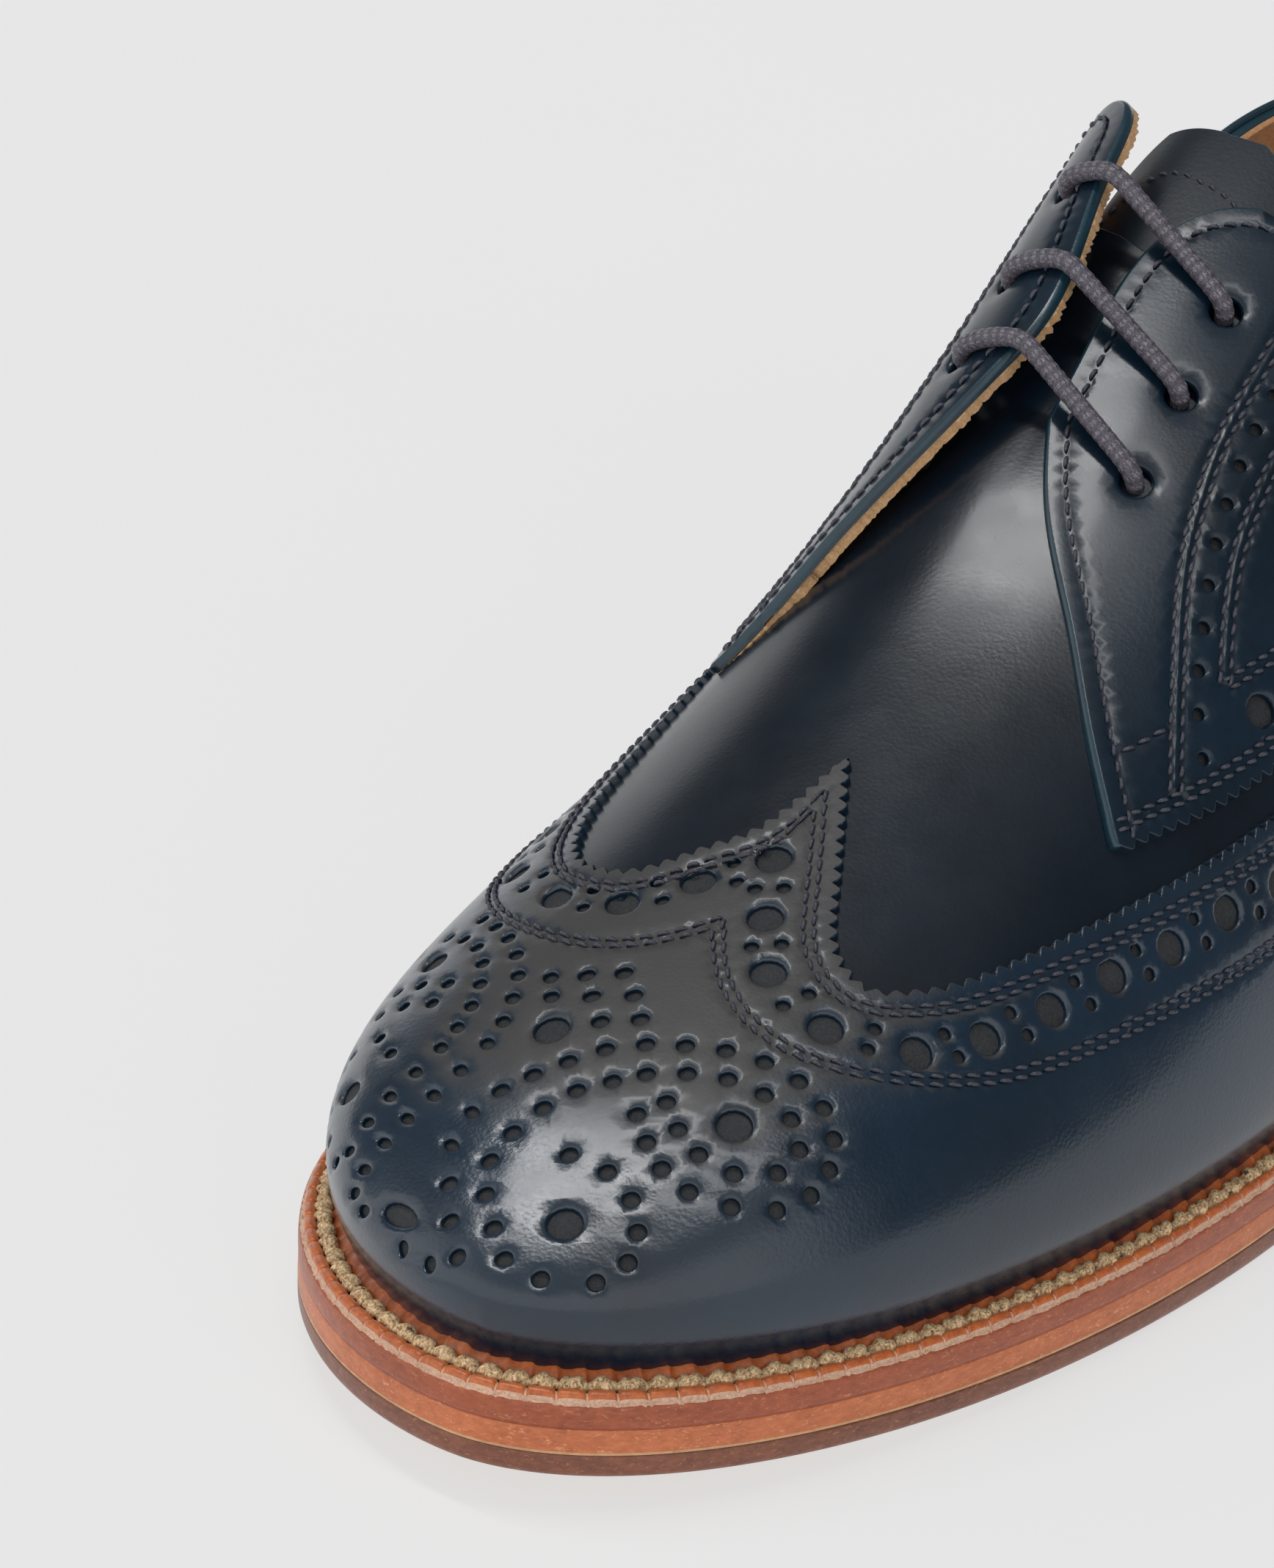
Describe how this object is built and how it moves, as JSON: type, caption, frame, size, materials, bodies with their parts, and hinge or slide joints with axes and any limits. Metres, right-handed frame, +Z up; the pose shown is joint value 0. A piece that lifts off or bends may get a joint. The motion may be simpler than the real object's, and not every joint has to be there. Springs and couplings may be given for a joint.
{
  "type": "full brogue derby shoe",
  "caption": "Left welted leather derby shoe with a winged toe cap, open facings laced over a tongue, a double leather sole and a stacked heel.",
  "frame": {"origin": "on the floor, under the middle of the shoe's box", "axes": "+X from the toe to the heel, +Y to the inner (big toe) side, +Z up from the floor"},
  "size_m": [0.308, 0.1128, 0.1221],
  "materials": {
    "sole_leather": "waxed edge",
    "midsole_leather": "waxed edge",
    "welt_leather": "satin",
    "heel_leather": "waxed edge",
    "insole_leather": "natural",
    "navy_leather": "polished",
    "cap_leather": "polished",
    "quarter_leather": "polished",
    "tongue_leather": "satin",
    "waxed_cord": "waxed"
  },
  "bodies": {
    "root": {"outsole": "sole_leather", "midsole": "midsole_leather", "welt": "welt_leather", "heel": "heel_leather", "insole": "insole_leather", "upper": "navy_leather", "wing_cap": "cap_leather", "quarter_outer": "quarter_leather", "quarter_inner": "quarter_leather", "tongue": "tongue_leather", "lace_bar_1": "waxed_cord", "lace_bar_2": "waxed_cord", "lace_bar_3": "waxed_cord"}
  },
  "joints": []
}
